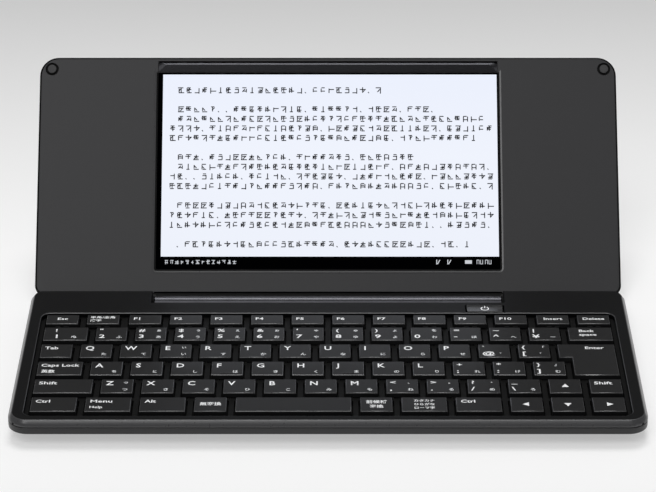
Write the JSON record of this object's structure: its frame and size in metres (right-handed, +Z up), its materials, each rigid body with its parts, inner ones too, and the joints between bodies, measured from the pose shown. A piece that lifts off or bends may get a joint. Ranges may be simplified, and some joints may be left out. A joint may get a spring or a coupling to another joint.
{
  "type": "electronic word processor",
  "caption": "Slim portable word processor: compact keyboard base with separate keys and a screen lid on a full-width friction hinge.",
  "frame": {"origin": "on the desk under the rubber feet, on the middle of the keyboard's width, halfway between the front of the case and the top edge of the opened lid", "axes": "+X to the typist's right, +Y from the typist towards the lid, +Z up"},
  "size_m": [0.263, 0.2008, 0.0904],
  "materials": {
    "case_black": "satin",
    "bezel_black": "satin",
    "grip_metal": "black anodised",
    "button_gloss": "gloss",
    "key_black": "matte",
    "web_black": "matte",
    "link_plastic": "natural",
    "steel": "plated",
    "board_green": "solder mask",
    "battery_foil": "foil",
    "foot_rubber": "matte",
    "screen_glass": "anti-glare",
    "tray_white": "matte",
    "cable_film": "film"
  },
  "bodies": {
    "base": {"battery_pack": "battery_foil", "card_socket": "steel", "case_screws": "steel", "deck_cover": "case_black", "hinge_bracket_left": "steel", "hinge_bracket_right": "steel", "key_frame": "web_black", "key_links": "link_plastic", "key_membrane": "web_black", "keyboard_plate": "steel", "lower_case": "case_black", "main_board": "board_green", "power_switch": "board_green", "rubber_feet": "foot_rubber", "usb_socket": "steel"},
    "lid": {"hinge_leaf_left": "steel", "hinge_leaf_right": "steel", "hinge_barrel": "grip_metal", "lid_back_cover": "case_black", "lid_bezel": "bezel_black", "grip_strip": "grip_metal", "lcd_panel": "screen_glass", "lcd_backlight": "tray_white", "lid_bumpers": "foot_rubber", "lid_screws": "steel", "screen_cable": "cable_film", "lid_magnet": "steel"},
    "power_button": {"power_button": "button_gloss"},
    "key_alt": {"key_alt": "key_black"},
    "key_backspace": {"key_backspace": "key_black"},
    "key_caps": {"key_caps": "key_black"},
    "key_ctrl_left": {"key_ctrl_left": "key_black"},
    "key_ctrl_right": {"key_ctrl_right": "key_black"},
    "key_delete": {"key_delete": "key_black"},
    "key_down": {"key_down": "key_black"},
    "key_enter": {"key_enter": "key_black"},
    "key_esc": {"key_esc": "key_black"},
    "key_hankaku": {"key_hankaku": "key_black"},
    "key_henkan": {"key_henkan": "key_black"},
    "key_insert": {"key_insert": "key_black"},
    "key_kana": {"key_kana": "key_black"},
    "key_left": {"key_left": "key_black"},
    "key_menu": {"key_menu": "key_black"},
    "key_muhenkan": {"key_muhenkan": "key_black"},
    "key_one": {"key_one": "key_black"},
    "key_right": {"key_right": "key_black"},
    "key_shift_left": {"key_shift_left": "key_black"},
    "key_shift_right": {"key_shift_right": "key_black"},
    "key_space": {"key_space": "key_black"},
    "key_tab": {"key_tab": "key_black"},
    "key_up": {"key_up": "key_black"},
    "keys_2_to_6": {"keys_2_to_6": "key_black"},
    "keys_7_to_yen": {"keys_7_to_yen": "key_black"},
    "keys_a_to_g": {"keys_a_to_g": "key_black"},
    "keys_function": {"keys_function": "key_black"},
    "keys_h_to_bracket": {"keys_h_to_bracket": "key_black"},
    "keys_n_to_backslash": {"keys_n_to_backslash": "key_black"},
    "keys_q_to_t": {"keys_q_to_t": "key_black"},
    "keys_y_to_bracket": {"keys_y_to_bracket": "key_black"},
    "keys_z_to_b": {"keys_z_to_b": "key_black"}
  },
  "joints": [
    {"name": "lid_hinge", "type": "hinge", "parent": "base", "child": "lid", "pos_m": [0, 0.01661, 0.00497], "axis": [-1, 0, 0], "range_deg": [-129.7, 0]},
    {"name": "key_alt_press", "type": "slide", "parent": "base", "child": "key_alt", "axis": [0, 0, -1], "range_m": [0, 0.0015], "stiffness_N_per_m": 350, "springref_m": -0.0004},
    {"name": "key_backspace_press", "type": "slide", "parent": "base", "child": "key_backspace", "axis": [0, 0, -1], "range_m": [0, 0.0015], "stiffness_N_per_m": 350, "springref_m": -0.0004},
    {"name": "key_caps_press", "type": "slide", "parent": "base", "child": "key_caps", "axis": [0, 0, -1], "range_m": [0, 0.0015], "stiffness_N_per_m": 350, "springref_m": -0.0004},
    {"name": "key_ctrl_left_press", "type": "slide", "parent": "base", "child": "key_ctrl_left", "axis": [0, 0, -1], "range_m": [0, 0.0015], "stiffness_N_per_m": 350, "springref_m": -0.0004},
    {"name": "key_ctrl_right_press", "type": "slide", "parent": "base", "child": "key_ctrl_right", "axis": [0, 0, -1], "range_m": [0, 0.0015], "stiffness_N_per_m": 350, "springref_m": -0.0004},
    {"name": "key_delete_press", "type": "slide", "parent": "base", "child": "key_delete", "axis": [0, 0, -1], "range_m": [0, 0.0015], "stiffness_N_per_m": 350, "springref_m": -0.0004},
    {"name": "key_down_press", "type": "slide", "parent": "base", "child": "key_down", "axis": [0, 0, -1], "range_m": [0, 0.0015], "stiffness_N_per_m": 350, "springref_m": -0.0004},
    {"name": "key_enter_press", "type": "slide", "parent": "base", "child": "key_enter", "axis": [0, 0, -1], "range_m": [0, 0.0015], "stiffness_N_per_m": 350, "springref_m": -0.0004},
    {"name": "key_esc_press", "type": "slide", "parent": "base", "child": "key_esc", "axis": [0, 0, -1], "range_m": [0, 0.0015], "stiffness_N_per_m": 350, "springref_m": -0.0004},
    {"name": "key_hankaku_press", "type": "slide", "parent": "base", "child": "key_hankaku", "axis": [0, 0, -1], "range_m": [0, 0.0015], "stiffness_N_per_m": 350, "springref_m": -0.0004},
    {"name": "key_henkan_press", "type": "slide", "parent": "base", "child": "key_henkan", "axis": [0, 0, -1], "range_m": [0, 0.0015], "stiffness_N_per_m": 350, "springref_m": -0.0004},
    {"name": "key_insert_press", "type": "slide", "parent": "base", "child": "key_insert", "axis": [0, 0, -1], "range_m": [0, 0.0015], "stiffness_N_per_m": 350, "springref_m": -0.0004},
    {"name": "key_kana_press", "type": "slide", "parent": "base", "child": "key_kana", "axis": [0, 0, -1], "range_m": [0, 0.0015], "stiffness_N_per_m": 350, "springref_m": -0.0004},
    {"name": "key_left_press", "type": "slide", "parent": "base", "child": "key_left", "axis": [0, 0, -1], "range_m": [0, 0.0015], "stiffness_N_per_m": 350, "springref_m": -0.0004},
    {"name": "key_menu_press", "type": "slide", "parent": "base", "child": "key_menu", "axis": [0, 0, -1], "range_m": [0, 0.0015], "stiffness_N_per_m": 350, "springref_m": -0.0004},
    {"name": "key_muhenkan_press", "type": "slide", "parent": "base", "child": "key_muhenkan", "axis": [0, 0, -1], "range_m": [0, 0.0015], "stiffness_N_per_m": 350, "springref_m": -0.0004},
    {"name": "key_one_press", "type": "slide", "parent": "base", "child": "key_one", "axis": [0, 0, -1], "range_m": [0, 0.0015], "stiffness_N_per_m": 350, "springref_m": -0.0004},
    {"name": "key_right_press", "type": "slide", "parent": "base", "child": "key_right", "axis": [0, 0, -1], "range_m": [0, 0.0015], "stiffness_N_per_m": 350, "springref_m": -0.0004},
    {"name": "key_shift_left_press", "type": "slide", "parent": "base", "child": "key_shift_left", "axis": [0, 0, -1], "range_m": [0, 0.0015], "stiffness_N_per_m": 350, "springref_m": -0.0004},
    {"name": "key_shift_right_press", "type": "slide", "parent": "base", "child": "key_shift_right", "axis": [0, 0, -1], "range_m": [0, 0.0015], "stiffness_N_per_m": 350, "springref_m": -0.0004},
    {"name": "key_space_press", "type": "slide", "parent": "base", "child": "key_space", "axis": [0, 0, -1], "range_m": [0, 0.0015], "stiffness_N_per_m": 350, "springref_m": -0.0004},
    {"name": "key_tab_press", "type": "slide", "parent": "base", "child": "key_tab", "axis": [0, 0, -1], "range_m": [0, 0.0015], "stiffness_N_per_m": 350, "springref_m": -0.0004},
    {"name": "key_up_press", "type": "slide", "parent": "base", "child": "key_up", "axis": [0, 0, -1], "range_m": [0, 0.0015], "stiffness_N_per_m": 350, "springref_m": -0.0004},
    {"name": "keys_2_to_6_press", "type": "slide", "parent": "base", "child": "keys_2_to_6", "axis": [0, 0, -1], "range_m": [0, 0.0015], "stiffness_N_per_m": 1750, "springref_m": -0.0004},
    {"name": "keys_7_to_yen_press", "type": "slide", "parent": "base", "child": "keys_7_to_yen", "axis": [0, 0, -1], "range_m": [0, 0.0015], "stiffness_N_per_m": 2450, "springref_m": -0.0004},
    {"name": "keys_a_to_g_press", "type": "slide", "parent": "base", "child": "keys_a_to_g", "axis": [0, 0, -1], "range_m": [0, 0.0015], "stiffness_N_per_m": 1750, "springref_m": -0.0004},
    {"name": "keys_function_press", "type": "slide", "parent": "base", "child": "keys_function", "axis": [0, 0, -1], "range_m": [0, 0.0015], "stiffness_N_per_m": 3500, "springref_m": -0.0004},
    {"name": "keys_h_to_bracket_press", "type": "slide", "parent": "base", "child": "keys_h_to_bracket", "axis": [0, 0, -1], "range_m": [0, 0.0015], "stiffness_N_per_m": 2450, "springref_m": -0.0004},
    {"name": "keys_n_to_backslash_press", "type": "slide", "parent": "base", "child": "keys_n_to_backslash", "axis": [0, 0, -1], "range_m": [0, 0.0015], "stiffness_N_per_m": 2100, "springref_m": -0.0004},
    {"name": "keys_q_to_t_press", "type": "slide", "parent": "base", "child": "keys_q_to_t", "axis": [0, 0, -1], "range_m": [0, 0.0015], "stiffness_N_per_m": 1750, "springref_m": -0.0004},
    {"name": "keys_y_to_bracket_press", "type": "slide", "parent": "base", "child": "keys_y_to_bracket", "axis": [0, 0, -1], "range_m": [0, 0.0015], "stiffness_N_per_m": 2450, "springref_m": -0.0004},
    {"name": "keys_z_to_b_press", "type": "slide", "parent": "base", "child": "keys_z_to_b", "axis": [0, 0, -1], "range_m": [0, 0.0015], "stiffness_N_per_m": 1750, "springref_m": -0.0004},
    {"name": "power_button_press", "type": "slide", "parent": "base", "child": "power_button", "axis": [0, 0, -1], "range_m": [0, 0.0005], "stiffness_N_per_m": 800, "springref_m": -0.0004}
  ]
}
